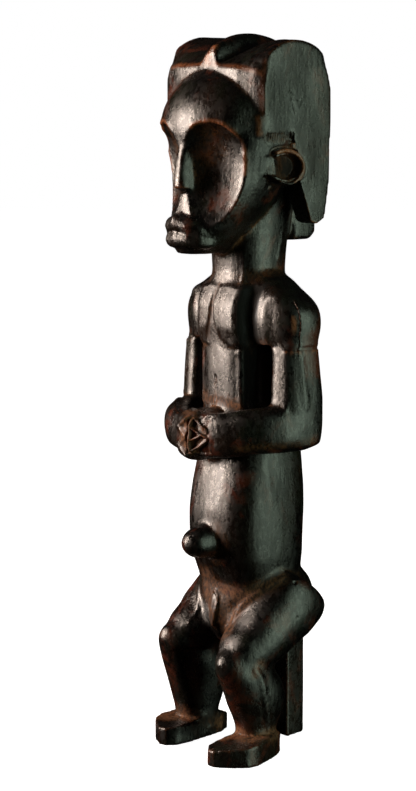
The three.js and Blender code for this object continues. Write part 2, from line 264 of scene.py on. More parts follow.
# %% [markdown]
# ## Softening
# Years of handling and oiling have rounded the wood. Each point is drawn towards the middle of its
# neighbours, many times over. The body is softened freely, so that its masses run together, while
# points near the cut edges of the coiffure, the chest, the feet and the post are held back.

# %% Soften the skin
SOFTENING_ROUNDS = 44
FIRM_HOLD, EAR_HOLD, EDGE_HOLD = 0.88, 0.55, 0.35
CROWN_HALF_WIDTH, POST_HALF_WIDTH = 24, 22

edge_near = distance_to(sharp_points, co, 6 * MM) * 1000
held = falling(0.8, 4.5, edge_near)
on_head = rising(352, 360, z) * (1 - 0.6 * rising(470, 482, z))
on_feet = falling(20, 28, z)
on_post = rising(28, 32, y) * falling(84, 92, z) * (np.abs(x) < POST_HALF_WIDTH)
on_chest_cut = zone(places, z=(287, 290, 2.5))
on_temple = zone(places, x=(38, 60, 3), y=(-30, 2, 6), z=(424, 442, 5))
on_ear = zone(places, x=(43, 60, 1), y=(-14, 16, 2), z=(396, 424, 2))
on_crown = rising(484, 490, z) * (np.abs(x) < CROWN_HALF_WIDTH)
firm = np.maximum.reduce([on_head, on_feet, on_post, on_chest_cut]) * (1 - on_temple)

rounds = int(SOFTENING_ROUNDS * (FULL_STEP / SKIN_STEP) ** 2)
weight = (1 - FIRM_HOLD * firm * held) * (1 - EAR_HOLD * on_ear)
weight *= 1 - EDGE_HOLD * held * (1 - on_temple)
co = soften(co, near, weight, rounds)
co = soften(co, near, on_temple * (1 - on_ear), rounds * 3)
co = soften(co, near, on_crown, rounds)
put(mesh, co)
print("softened", len(co), "points in", rounds, "rounds")

# %% [markdown]
# ## Masses that run together
# On the real figure the thigh swells out of the groin and the chest meets the shoulders without a
# seam, where the blocked-out solid has sharp valleys. Smoothing alone would shrink the ridges too,
# so these valleys are filled first and then smoothed lightly, three times in turn.

# %% Fill the valleys of the chest, groin, thighs and knees
FILLING_TURNS, SMOOTHING_ROUNDS = 3, 8
THIGH_FOLD = [(36, 9, 121), (33, -3, 110), (28, -11, 103), (24, -17, 93), (23, -25, 86)]

on_knee = zone(places, y=(-50, -14, 8), z=(64, 92, 8))
on_chest = zone(places, y=(-40, 12, 6), z=(291, 336, 3))
on_valley = zone(places, x=(18, 36, 5), y=(-30, 4, 4), z=(291, 330, 3))
on_middle = zone(places, z=(289, 332, 4)) * falling(-8, -2, y) * falling(8, 12, np.abs(x))
on_groin = zone(places, x=(0, 30, 8), y=(-26, 6, 6), z=(76, 112, 8))
fold = np.array(THIGH_FOLD) * MM
fold = both_sides(np.concatenate([np.linspace(a, b, 12) for a, b in zip(fold[:-1], fold[1:])]))
on_fold = falling(5, 10, distance_to(fold, co, 12 * MM) * 1000)

filled = 0.3 * on_knee + 0.4 * on_chest + 0.6 * np.maximum(on_valley, on_middle)
filled += np.maximum(0.6 * on_groin, on_fold)
smoothed = [0.8 * on_knee, 0.6 * on_chest, on_valley, on_middle, on_fold]
smoothed = np.maximum.reduce(smoothed)
for _ in range(FILLING_TURNS):
    co = fill(co, near, normals_of(mesh), filled, rounds // 2)
    put(mesh, co)
    co = soften(co, near, smoothed, SMOOTHING_ROUNDS)
    put(mesh, co)
places = x, y, z = (co * 1000).T
print("filled", int(np.sum(filled > 0.1)), "points")

# %% [markdown]
# ## Chest pads
# Two flat pads of muscle lie on the chest. Their inner edges start together under the throat and
# part on the way down, and the narrow strip of breastbone between them runs on into the front of
# the trunk. The front of the chest is drawn back to a profile that is given height by height,
# which keeps it almost flush with the trunk. A relief as low as this is easier to hold with a
# profile than with the solid's own rounded masses. The profile's numbers are the Y of the front in
# millimetres, and how far it goes back or forward between two heights.

# %% Press the front of the chest to its profile
EDGE_HEIGHTS = [286, 288, 290.5, 294, 300, 306, 316, 330]
LEFT_PAD_EDGE = [14, 9, 4.5, 1.5, -1.2, -2.6, -3.2, -1.0]
RIGHT_PAD_EDGE = [-13, -12, -11, -9.5, -7.6, -5.8, -4.4, -3.0]
PRESSING, PRESSED_FROM = 0.92, 7

left_edge = np.interp(z, EDGE_HEIGHTS, LEFT_PAD_EDGE)
right_edge = np.interp(z, EDGE_HEIGHTS, RIGHT_PAD_EDGE)
on_pad = rising(-0.4, 1.8, np.maximum(x - left_edge, right_edge - x))
breastbone = -17.6 - 0.9 * rising(286, 304, z) + 4.0 * rising(314, 332, z)
pad = -18.2 - 1.9 * rising(287, 300, z) + 5.2 * rising(312, 332, z)
pad += 2.6 * rising(17, 24, np.abs(x))
chest_front = breastbone + (pad - breastbone) * on_pad
pressed = zone(places, z=(287, 326, 3)) * falling(21, 25, np.abs(x))
pressed *= (y < 0) * (np.abs(y - chest_front) < PRESSED_FROM)
co[:, 1] += PRESSING * pressed * (chest_front - y) * MM
put(mesh, co)
co = soften(co, near, zone(places, z=(287, 328, 2)) * falling(24, 30, np.abs(x)) * (y < 0), 3)
put(mesh, co)
normals = normals_of(mesh)
print("pressed", int(np.sum(pressed > 0.1)), "points of the chest")

# %% [markdown]
# ## Knife work
# Ridges and cuts are lines on the wood. A smooth line is laid through a few points, and every point
# of the skin near it is raised or sunk along its own normal by an amount that fades with distance.
# This is what a crease brush does when it follows a curve, and it gives the same cut each time.

# %% Tools that raise a ridge or cut a groove
def smooth_line(points, step=0.0005):
    """Points along a smooth curve through the given ones, which are in millimetres."""
    p = np.array(points, float) / 1000
    p = np.concatenate([[2 * p[0] - p[1]], p, [2 * p[-1] - p[-2]]])
    found = []
    for a, b, c, d in zip(p[:-3], p[1:-2], p[2:-1], p[3:]):
        straight, curved, twisted = c - a, 2 * a - 5 * b + 4 * c - d, 3 * b - a - 3 * c + d
        count = max(int(np.linalg.norm(c - b) / step), 2)
        for t in np.linspace(0, 1, count, endpoint=False):
            found.append(0.5 * (2 * b + straight * t + curved * t**2 + twisted * t**3))
    return np.array(found + [p[-2]])


def beside(line, co, reach):
    """Each point's distance to a line, in metres, no more than reach."""
    box = line.min(0) - reach, line.max(0) + reach
    return distance_to(line, co, reach, inside(co, box))


def raise_along(co, normals, line, width, height):
    """Raises a rounded ridge along a line, or cuts a groove where the height is negative. The
    width and height are in millimetres."""
    d = beside(line, co, width * MM)
    return co + normals * (height * MM * falling(0, width * MM, d))[:, None]


skin_tree = tree_of(co)


def on_skin(line):
    """The line's points moved to the nearest points of the skin."""
    return np.array([skin_tree.find(p)[0] for p in line])


print("the skin's search tree holds", len(co), "points")

# %% [markdown]
# ## Lines on the head
# A groove under the jaw with a low ridge above it sets the head off from the neck. The rim of the
# hollowed face stands up a little, the lips are parted by one cut, and long ridges run down the
# throat and the nape. They are all shallower than the solid carries, so they are cut here.

# %% Cut the lines of the head
JAW = [(45, 0, 397), (42, -12, 383), (34, -26, 371), (24, -38, 362)]
LIPS = [(-19, -36, 362), (-12, -48, 365), (0, -54, 367), (12, -48, 365), (19, -36, 362)]
THROAT = [(18, -10, 326), (18, -10, 336), (19, -10, 350), (22, -9, 366)]
NAPE = [(44, 15, 397), (36, 24, 384), (30, 24, 376), (27, 21, 361), (25.5, 18, 346)]
JAW_TO_EDGE = np.array([0, -4, 3]) * MM

jaw = both_sides(smooth_line(JAW))
rim = [p for p in sharp_points if p.y < -0.020 and 0.374 < p.z < 0.443 and abs(p.x) > 0.010]
rim = np.array(rim)
head_lines = [  # each with its width and its height in millimetres
    (jaw, 3.5, -1.3),
    (jaw + JAW_TO_EDGE, 3.0, 0.8),
    (rim, 4.5, 0.5),
    (smooth_line(LIPS), 1.8, -1.7),
    (both_sides(smooth_line(THROAT)), 3.5, 1.3),
    (both_sides(smooth_line(NAPE)), 4.0, 1.4),
]
for line, width, height in head_lines:
    co = raise_along(co, normals, line, width, height)
print("cut", len(head_lines), "lines on the head")

# %% [markdown]
# ## Ears
# Each ear is a thin ring, open to the front, around a sunken bowl. Seen from the side it is a
# drawing on a flat ground, so the work is done in that view: every point there gets a new distance
# from the middle of the head, and its place in the view stays. The bowl's floor slopes down
# towards the back, the ground in front of it slopes from the temple, and the ring is raised last.

# %% Sink the bowls and raise the rings
EAR_Y, EAR_Z = 2.5, 409.3
BOWL_HALF_LENGTH, BOWL_HALF_HEIGHT = 13.0, 9.0
EAR_SIDE, LOBE_SIDE = 40, 45
RING = [(-8, 419), (-4, 420.1), (1.5, 420.4), (10, 418), (15.6, 411), (15, 404)]
RING += [(9, 398.8), (2, 397.6), (-5, 399)]
GROOVE_DEPTH, BEHIND_EAR = 0.4, 51.0


def oval(y, z, middle=EAR_Y, half_length=BOWL_HALF_LENGTH, half_height=BOWL_HALF_HEIGHT):
    """Less than 1 inside an upright oval on the side of the head, and more outside it."""
    return ((y - middle) / half_length) ** 2 + ((z - EAR_Z) / half_height) ** 2


def set_side(co, share, now, wanted):
    """Moves the side of the head from one distance from the middle to another."""
    co[:, 0] -= np.sign(x) * share * (now - wanted) * MM


at_ear = np.abs(x) > EAR_SIDE
bowl = falling(0.72, 1.0, oval(y, z, EAR_Y + 0.5))
bowl_floor = 46.6 - 4.8 * rising(-9, 11, y + 0.3 * (z - EAR_Z))
set_side(co, bowl * at_ear, np.abs(x), bowl_floor)

in_front_of_ear = between(-16, -7, y, 1.5) * between(405.0, 415.5, z, 3.0) * at_ear
ear_share = rising(-16, -7, y)
ground = (44.2 + 0.24 * (z - EAR_Z)) * (1 - ear_share) + 46.0 * ear_share
set_side(co, in_front_of_ear, np.abs(co[:, 0]) * 1000, ground)

near_ear = at_ear & (np.abs(y - EAR_Y) < 20) & (np.abs(z - EAR_Z) < 16)
ring_tree = tree_of([(0, *p[1:]) for p in both_sides(smooth_line([(50.5, *p) for p in RING]))])
from_ring = np.full(len(co), 9.0)
for i in np.nonzero(near_ear)[0]:
    from_ring[i] = ring_tree.find((0, co[i, 1], co[i, 2]))[2] * 1000
ring_top = 52.6 - 1.5 * rising(6, -12, -y)
lift = falling(0.9, 2.1, from_ring) * np.clip(ring_top - np.abs(x), 0, 5) * (np.abs(x) > 43)
co[:, 0] += np.sign(x) * lift * MM
groove = between(2.1, 3.2, from_ring, 0.8) * (oval(y, z) > 1) * near_ear
co[:, 0] -= np.sign(x) * groove * GROOVE_DEPTH * MM
behind = between(2.4, 7, from_ring, 0.6) * near_ear * (y > 6) * (np.abs(x) > LOBE_SIDE)
behind = behind * (oval(y, z) > 1) * (z > 402)
set_side(co, behind, np.abs(co[:, 0]) * 1000, BEHIND_EAR)
print("the rings were raised by up to", round(float(lift.max()), 1), "mm")

# %% [markdown]
# ## Strands above the ears
# A short row of upright cuts above each ear stands for plaited hair. A cut is hardly wider than a
# square of the body's skin, which is why the squares were halved here. Like the ears they are made
# in the side view, each as a slot of one depth.

# %% Cut the strands
STRAND_DEPTH = 0.9
STRANDS = [(-14.5 + 2.0 * i, 426.5, 430.6) for i in range(8)]
STRANDS += [(2.6 + 2.3 * i, 428.6, 431.4) for i in range(3)]

for strand_y, foot, head in STRANDS:
    heights = [foot + t * (head - foot) for t in np.linspace(0, 1, 8)]
    cut = both_sides(np.array([(0.050, strand_y * MM, h * MM) for h in heights]))
    d = beside(cut, co, 3 * MM)
    from_cut = np.abs(co[:, 1] * 1000 - strand_y)
    share = falling(0.25, 0.75, from_cut) * falling(1.0 * MM, 2.0 * MM, d)
    co[:, 0] -= np.sign(co[:, 0]) * share * STRAND_DEPTH * MM
print("cut", len(STRANDS), "strands on each side")

# %% [markdown]
# ## Lines on the body
# The chest ends in a cut shelf, faint ridges run along the limbs where two knife planes meet, and
# the navel is a strong round peg. The ridges are given by points close to the skin, and each line
# is first moved onto the skin, so that it holds to the real surface all along.

# %% Cut the shelf, thicken the navel and raise the ridges
SHELF_SHARE, NAVEL_SHARE, NAVEL_Z = 0.012, 0.10, 147.5
INNER_THIGH, SHOULDER_FRONT = 2.6, 1.6
THIGH_CREASE = [(38.7, 8.8, 123.4), (29.9, -5.1, 113.2), (24.1, -12.4, 106.1), (19.4, -19, 94.3)]
THIGH_CREASE += [(20, -27, 86)]
SHIN = [(42, -20.4, 63.7), (42, -16.3, 55.5), (42, -13.5, 44.3), (42, -10.7, 33.1)]
SHIN += [(42, -7.9, 19.7)]
TRUNK_CORNER = [(20, -14.2, 283), (20.3, -14.2, 263), (20.5, -14.4, 246)]
ARM_FRONT = [(57, -7, 284), (57.5, -6, 262), (58, -5, 246)]
ARM_OUTSIDE = [(61.5, 6, 284), (62, 8, 262), (62, 10, 246)]
FLANK = [(38, -7.2, 208.7), (38, -3.5, 194.3), (40, 2, 180)]
FOREARM_TOP = [(50, -14, 247.5), (40, -24, 246), (28, -34, 243), (16, -42, 241)]
BODY_RIDGES = [  # each with its width and its height
    (TRUNK_CORNER, 4.0, 1.0),
    (ARM_FRONT, 3.5, 0.8),
    (ARM_OUTSIDE, 3.5, 0.6),
    (FLANK, 7.0, 0.35),
    (SHIN, 4.0, 0.9),
    (THIGH_CREASE, 3.0, 0.8),
    (FOREARM_TOP, 3.0, 0.9),
]

shelf = between(285.6, 287.0, z, 1.2) * np.maximum(on_pad, np.abs(x) > 18)
co[:, :2] *= 1 - (shelf * SHELF_SHARE)[:, None]
on_navel = falling(-33, -28, y) * between(133, 162, z, 1) * (np.abs(x) < 14)
co[:, 0] *= 1 + NAVEL_SHARE * on_navel
co[:, 2] += on_navel * NAVEL_SHARE * (z - NAVEL_Z) * MM
inner_thigh = zone(places, y=(-46, -16, 5), z=(71, 86, 5))
inner_thigh = inner_thigh * rising(2, 7, np.abs(x)) * falling(20, 30, np.abs(x))
co[:, 0] -= np.sign(x) * inner_thigh * INNER_THIGH * MM
for points, width, height in BODY_RIDGES:
    line = on_skin(both_sides(smooth_line(points)))
    co = raise_along(co, normals, line, width, height)
shoulder_front = zone(places, z=(290, 316, 6)) * rising(36.5, 45, np.abs(x)) * (y < 5)
co[:, 1] += SHOULDER_FRONT * shoulder_front * MM
arm_front = zone(places, x=(35, 60, 3), z=(250, 281, 3)) * falling(2, 8, y)
put(mesh, co)
co = soften(co, near, arm_front, 16)
put(mesh, co)
normals = normals_of(mesh)
print("raised", len(BODY_RIDGES), "pairs of ridges")

# %% [markdown]
# ## Damage
# A log opens along its grain as it dries, and a handled figure is scratched and knocked. One short
# crack, a few scratches and two pits are cut with the same tool as the ridges, with a negative
# height. Each is given one by one, because scattered ones would look like a pattern. The rim of the
# member is the last raised line.

# %% Cut the small lines and the damage
MEMBER_RIM = [(-0.2, -19.5, 112.3), (3.9, -19.8, 107.1), (2.8, -24.2, 93.1), (1, -24, 87)]
CRACK = [(-2, -20, 264), (-1.4, -19.5, 256), (-1.8, -19, 247)]
LOBE_FACE_X = 51
SCRATCHES = [[(4, 460), (7, 458.5)], [(5, 455), (12, 454)], [(7, 450.5), (8.5, 445)]]
SCRATCHES += [[(12, 449), (15, 452)]]
# Each pit has its place, its radius and its depth.
PITS = [((51, 12, 126), 1.6, 2.0), ((51, 11.5, 97.5), 1.3, 1.6)]

co = raise_along(co, normals, on_skin(smooth_line(MEMBER_RIM)), 2.0, 1.0)
for ends in SCRATCHES:
    scratch = smooth_line([(LOBE_FACE_X, *end) for end in ends])
    co = raise_along(co, normals, scratch, 0.8, -0.5)
co = raise_along(co, normals, on_skin(smooth_line(CRACK)), 0.9, -0.9)
for spot, width, depth in PITS:
    co = raise_along(co, normals, on_skin(np.array([spot]) * MM), width, -depth)
print("cut", len(SCRATCHES), "scratches, 1 crack and", len(PITS), "pits")

# %% [markdown]
# ## Interlaced fingers
# Where the hands meet, the fingers are a pattern of crossing ridges on a low wedge. It faces the
# front, so it is drawn as straight strokes in that view. The ground between the strokes is cut back
# and the strokes stand above it, which is how a carver would set such a pattern in.

# %% Raise the strokes of the fingers
KNUCKLE_X, KNUCKLE_Z = 8.0, 226.5
WEDGE_HALF_WIDTH, WEDGE_HEIGHT = 14, 2.0
STROKE_HEIGHT, GROUND_DEPTH = 2.0, 1.2
STROKES = [
    [(0.8, 11.5), (-0.6, 6), (0.4, 0), (-0.6, -6), (0.2, -11)],
    [(1.2, 11.6), (6, 8.2), (11.4, 4.4), (12.2, 2.4)],
    [(1.0, -11), (6, -7.8), (12.2, -3.2), (12.8, -1.2)],
    [(0, 5.6), (4.6, 2.4), (8.6, 0.6), (4.8, -1.4), (1.0, -3.6)],
    [(8.6, 0.6), (11.6, -0.8)],
]

in_front = falling(-42, -36, y)
wedge = np.clip(1 - np.abs(x - KNUCKLE_X) / WEDGE_HALF_WIDTH, 0, 1)
wedge = wedge * between(213, 240, z, 5) * in_front
co[:, 1] -= wedge * WEDGE_HEIGHT * MM
put(mesh, co)
normals = normals_of(mesh)
from_stroke = np.full(len(co), 9.0)
front_view = np.stack([x - KNUCKLE_X, z - KNUCKLE_Z], 1)
for stroke in STROKES:
    for a, b in zip(stroke[:-1], stroke[1:]):
        a, b = np.array(a, float), np.array(b, float)
        t = np.clip((front_view - a) @ (b - a) / ((b - a) @ (b - a)), 0, 1)
        d = np.linalg.norm(front_view - a - t[:, None] * (b - a), axis=1)
        from_stroke = np.minimum(from_stroke, d)
on_fingers = between(KNUCKLE_X - 1.5, KNUCKLE_X + 12.6, x, 1.2)
on_fingers = on_fingers * between(214.5, 239, z, 1.2) * in_front
fingers = STROKE_HEIGHT * falling(0.4, 1.15, from_stroke) - GROUND_DEPTH
co = co + normals * (on_fingers * fingers * MM)[:, None]
put(mesh, co)
print("raised", len(STROKES), "strokes of the fingers")

# %% [markdown]
# ## Tool marks
# An adze and a knife leave shallow planes that meet at faint edges. Noise that changes over a few
# millimetres across the grain, and more slowly along it, tilts each patch of the skin by a little.
# It is moved in the mesh and not only in the material, so that the outline carries it too. The
# flat sides of the coiffure have marks of their own, longer than they are high.

# %% Tilt small patches of the surface
TOOL_MARKS = [(0.24, (11, 11, 30), 3), (0.12, (5, 5, 15), 4), (0.06, (2.2, 2.2, 9), 5)]
LOBE_MARKS = [(0.45, (30, 17, 15), 8), (0.14, (20, 7, 7), 9)]
HEAD_SHARE = 0.6
TABLE = 64


def noise(co, cell, seed):
    """Smooth values from -1 to 1 that change over the distances in cell, given in millimetres.
    Random numbers stand at the corners of a lattice, and each point mixes those of its cell."""
    rng = np.random.default_rng(seed)
    table = rng.uniform(-1, 1, (TABLE, TABLE, TABLE))
    p = co * 1000 / np.array(cell) + 500
    i = np.floor(p).astype(int)
    f = p - i
    f = f * f * (3 - 2 * f)
    total = 0
    for corner in np.ndindex(2, 2, 2):
        share = np.prod(np.abs(1 - np.array(corner) - f), axis=1)
        total = total + share * table[tuple(((i + corner) % TABLE).T)]
    return total


def marks(co, layers):
    """The sum of several noises, each given as (depth in millimetres, cell, seed)."""
    return sum(depth * noise(co, cell, seed) for depth, cell, seed in layers)


normals = normals_of(mesh)
on_head = rising(350, 362, co[:, 2] * 1000)
on_lobes = on_head * (np.abs(co[:, 0]) > 48 * MM) * (np.abs(normals[:, 0]) > 0.8)
moved = marks(co, TOOL_MARKS) * (1 - HEAD_SHARE * on_head) + marks(co, LOBE_MARKS) * on_lobes
co = co + normals * (moved * MM)[:, None]
put(mesh, co)
print("tool marks up to", round(float(np.abs(moved).max()), 2), "mm deep")

# %% [markdown]
# ## Thinning the skin
# The even skin spends as many squares on a flat plank as on a finger. Decimate takes away the
# points that the shape needs least, until the piece is small enough to pass on whole. The soles and
# the foot of the post are then set flat on the floor, and nothing is left outside the solid's box.

# %% Thin out the skin and seat it
FACES_WANTED = 190000
SOLE_HEIGHT, FACING_DOWN = 0.8 * MM, -0.6

triangles = sum(len(p.vertices) - 2 for p in mesh.polygons)
thin = figure.modifiers.new("thin", "DECIMATE")
thin.ratio = min(FACES_WANTED / triangles, 1)
thin.use_collapse_triangulate = True
mesh = settle(figure)
co = np.clip(coords(mesh), *(np.array(corner) for corner in CAD_BOX))
on_sole = (co[:, 2] < SOLE_HEIGHT) & (normals_of(mesh)[:, 2] < FACING_DOWN)
co[on_sole, 2] = 0
put(mesh, co)
print("triangles", triangles, "->", len(mesh.polygons))

# %% [markdown]
# ## Camera
# The photograph was taken from the figure's front left with a long lens, a little above its middle.
# The camera is turned by three plain vectors, ahead, right and up, because it looks slightly past
# the figure and a Track To constraint could not keep that.

# %% Camera
CAMERA_AZIMUTH = math.radians(50)
CAMERA_PLACE = Vector((1.149, -0.956, 0.450))
CAMERA_PITCH = math.radians(7.664)
CAMERA_YAW = math.radians(-1.016)
LENS_MM, SENSOR_MM = 97.86, 36

ahead = Vector((-math.sin(CAMERA_AZIMUTH), math.cos(CAMERA_AZIMUTH), 0))
right = Vector((math.cos(CAMERA_AZIMUTH), math.sin(CAMERA_AZIMUTH), 0))
turned = ahead * math.cos(CAMERA_YAW) + right * math.sin(CAMERA_YAW)
right = right * math.cos(CAMERA_YAW) - ahead * math.sin(CAMERA_YAW)
look = turned * math.cos(CAMERA_PITCH) - Vector((0, 0, math.sin(CAMERA_PITCH)))
up = right.cross(look)
camera = bpy.data.objects.new("camera", bpy.data.cameras.new("camera"))
camera.data.lens = LENS_MM
camera.data.sensor_width = SENSOR_MM
camera.data.clip_start = 0.05
camera.matrix_world = Matrix((right, up, -look)).transposed().to_4x4()
camera.location = CAMERA_PLACE
bpy.context.scene.collection.objects.link(camera)
bpy.context.scene.camera = camera
print("camera", [round(v, 3) for v in camera.location])

# %% [markdown]
# ## Floor and surroundings
# In the photograph the figure stands on plain white without a shadow. The floor here is plain and
# pale and glows a little, so it looks the same all over. It is left out of shadows, bounces and
# reflections, so that it doesn't cut off the wide light, whose lower half lies below it and stands
# for what a pale floor throws back. The surroundings are white to the camera and almost dark to
# the wood, which keeps the wood's blacks.

# %% Floor and surroundings
FLOOR_RADIUS, FLOOR_DROP = 8, 0.0002
PALE, WHITE, DIM = (0.7, 0.7, 0.7, 1), (1, 1, 1, 1), (1.0, 0.97, 0.9, 1)
DIM_STRENGTH = 0.001

bm = bmesh.new()
bmesh.ops.create_circle(bm, cap_ends=True, segments=64, radius=FLOOR_RADIUS)
floor_mesh = bpy.data.meshes.new("floor")
bm.to_mesh(floor_mesh)
bm.free()
floor = bpy.data.objects.new("floor", floor_mesh)
floor.location.z = -FLOOR_DROP
bpy.context.scene.collection.objects.link(floor)
floor.visible_diffuse = False
floor.visible_glossy = False
floor.visible_shadow = False

pale = bpy.data.materials.new("pale_floor")
pale.use_nodes = True
shader = pale.node_tree.nodes["Principled BSDF"]
shader.inputs["Base Color"].default_value = PALE
shader.inputs["Roughness"].default_value = 0.9
shader.inputs["Specular IOR Level"].default_value = 0.0
shader.inputs["Emission Color"].default_value = WHITE
shader.inputs["Emission Strength"].default_value = 1.0
floor_mesh.materials.append(pale)

world = bpy.data.worlds.new("surroundings")
bpy.context.scene.world = world
world.use_nodes = True
nodes, links = world.node_tree.nodes, world.node_tree.links
seen = nodes.new("ShaderNodeBackground")
seen.inputs["Color"].default_value = WHITE
lit = nodes["Background"]
lit.inputs["Color"].default_value = DIM
lit.inputs["Strength"].default_value = DIM_STRENGTH
path = nodes.new("ShaderNodeLightPath")
mix = nodes.new("ShaderNodeMixShader")
links.new(path.outputs["Is Camera Ray"], mix.inputs["Fac"])
links.new(lit.outputs[0], mix.inputs[1])
links.new(seen.outputs[0], mix.inputs[2])
links.new(mix.outputs[0], nodes["World Output"].inputs["Surface"])
bpy.context.scene.view_settings.view_transform = "Standard"
print("floor", FLOOR_RADIUS, "m in radius")

# %% [markdown]
# ## Lights
# Dark oiled wood is seen mostly by its highlights. A narrow, upright, slightly warm light to the
# figure's front right draws the long highlights down the face, chest and belly. A wide, slightly
# green one at its left gives that whole side an even sheen, as a studio wall does. A very weak
# overhead light keeps the tops from going black.

# %% Lights
LOOKED_AT = Vector((0, 0, 0.27))


def soft_light(name, azimuth, height, distance, size, watts, colour):
    """A rectangular soft light that looks at the figure. Azimuth 0 is in front of it."""
    lamp = bpy.data.lights.new(name, "AREA")
    lamp.shape = "RECTANGLE"
    lamp.size, lamp.size_y = size
    lamp.energy = watts
    lamp.color = colour
    holder = bpy.data.objects.new(name, lamp)
    turn = math.radians(azimuth)
    holder.location = (distance * math.sin(turn), -distance * math.cos(turn), height)
    holder.rotation_euler = (LOOKED_AT - holder.location).to_track_quat("-Z", "Y").to_euler()
    bpy.context.scene.collection.objects.link(holder)
    print(name, watts, "W at", [round(v, 2) for v in holder.location])


soft_light("key", -40, 0.56, 1.3, size=(0.30, 0.80), watts=45, colour=(1.0, 0.88, 0.81))
soft_light("fill", 108, 0.35, 1.4, size=(0.9, 1.6), watts=16, colour=(0.72, 1.0, 0.85))
sky = bpy.data.lights.new("overhead", "SUN")
sky.energy = 0.03
sky.angle = math.radians(120)
bpy.context.scene.collection.objects.link(bpy.data.objects.new("overhead", sky))

# %% [markdown]
# ## Worn edges and hollows
# Oil and smoke gather in the hollows, and hands rub the edges back to red-brown wood. How far a
# point stands out from a softened copy of the surface says which of the two it is. The result is
# kept as numbers on the mesh, where the wood's colour can read them.

# %% Measure how far each point stands out
mesh = figure.data
co = coords(mesh)
near = neighbours(mesh)
normals = normals_of(mesh)
places = x, y, z = (co * 1000).T
from_middle = np.abs(x)


def stands_out(rounds):
    """Each point's height in millimetres above the surface softened in so many rounds."""
    soft = soften(co, near, np.ones(len(co)), rounds)
    return np.sum((co - soft) * normals, axis=1) * 1000


def keep_number(name, values):
    attribute = mesh.attributes.new(name, "FLOAT", "POINT")
    attribute.data.foreach_set("value", values.astype(np.float32))
    print(name, "on", round(100 * float(np.mean(values > 0.2)), 1), "% of the points")


fine, broad = stands_out(6), stands_out(40)
hollow = rising(0.08, 0.30, -fine) * 0.6 + rising(0.3, 1.3, -broad) * 0.8
worn = rising(0.22, 0.55, fine) * 0.6 + rising(1.6, 3.0, broad) * 0.3
in_shade = np.maximum(falling(60, 110, z), between(430, 476, z, 4) * (from_middle > 36))
worn *= 1 - 0.75 * in_shade

# %% [markdown]
# ## Dust, rubbed places and painted shade
# Tan dust lies in particular creases: where the belly meets the thighs, round the ankles, under the
# chest and between the fingers. The same tan on the front of each ear bowl is partly dust and
# partly a painted lit patch. Hands have rubbed the edges of the coiffure, the brow, the ears and an
# elbow.
# No measure of the shape would find just these places, so each is painted with a line that has a
# reach in millimetres and a strength. The deep gap between trunk and arm, the recess beside the
# chest and the back of each ear bowl get painted shade, and the belly and the shins are made darker
# and duller; one number on the mesh carries both.

# %% Name the dusty and the rubbed places
BELLY_EDGE = [(-7, -21.6, 123), (-0.7, -19.2, 115.8), (13.1, -18.3, 113.3), (25.2, -13.2, 113.5)]
BELLY_EDGE += [(37.9, 9.4, 124.4)]
BESIDE_MEMBER = [(-11.3, -19.6, 121), (-9.4, -18.9, 110.6), (0.4, -24.5, 98.7), (2.6, -24.1, 90.7)]
BESIDE_MEMBER += [(14, -28, 84)]
GROIN = [(10, -20, 106), (12, -21, 96), (10, -22, 90)]
LEFT_ANKLE = [(28, -36, 15), (30.5, -23.5, 17.3), (40, -28, 16), (47.2, -23.9, 15.3)]
LEFT_ANKLE += [(46.1, -3.1, 15.9)]
RIGHT_ANKLE = [(-46.6, -22.2, 15.5), (-40, -35, 15), (-28.5, -27.3, 18), (-23, -22.5, 15.9)]
RIGHT_ANKLE += [(-21.6, 2.6, 8)]
ABOVE_FOREARMS = [(-21.3, -13, 246.9), (3.1, -17.8, 247.1), (18, -15.1, 244.8)]
ABOVE_KNUCKLES = [(-6, -42, 240), (4.1, -43.4, 240.9), (3.4, -39.7, 243)]
BETWEEN_FINGERS = [(6, -48, 238), (4, -49, 228), (5, -48, 217)]
UNDER_CHEST = [(11.5, -7, 285), (24.4, -6.8, 286.7), (37, -6.8, 286.8)]
UNDER_FOREARM = [(40, -33, 218.5), (48.2, -24, 219.8), (57.7, -9.8, 221.2), (61.9, 16.8, 223.1)]
BREASTBONE = [(-2, -14, 328), (-4, -19, 314), (-6.5, -19, 303), (-10, -18, 291)]
FOOT_OF_NECK = [(-12, -6, 333), (8, -8, 331), (20, -4, 333), (24, 15, 335)]
BESIDE_NAVEL = [(12, -27, 161), (17, -25.5, 150), (14, -25, 140), (6, -26, 135)]
STRAND_ROW = [(49, -15, 429.5), (49, -3, 429.5)]
# The front of each ear bowl is tan: partly dust, partly a painted lit patch on its sloping floor.
LIT_FRONT_OF_EAR = [(46, -9, 408), (46, -3, 405)]
DUST_AND_LIGHT_LINES = [
    (THIGH_CREASE, 6, 1.0),
    (BELLY_EDGE, 6, 0.8),
    (BESIDE_MEMBER, 7, 0.8),
    (GROIN, 9, 0.5),
    (LEFT_ANKLE, 5, 0.9),
    (RIGHT_ANKLE, 6, 0.8),
    (ABOVE_FOREARMS, 4, 1.0),
    (ABOVE_KNUCKLES, 3, 0.6),
    (BETWEEN_FINGERS, 6, 0.9),
    (UNDER_CHEST, 5, 0.9),
    (UNDER_FOREARM, 3, 0.45),
    (BREASTBONE, 2, 0.6),
    (FOOT_OF_NECK, 6, 0.5),
    (BESIDE_NAVEL, 4, 0.6),
    (STRAND_ROW, 4, 0.4),
    (LIT_FRONT_OF_EAR, 3.5, 0.5),
]

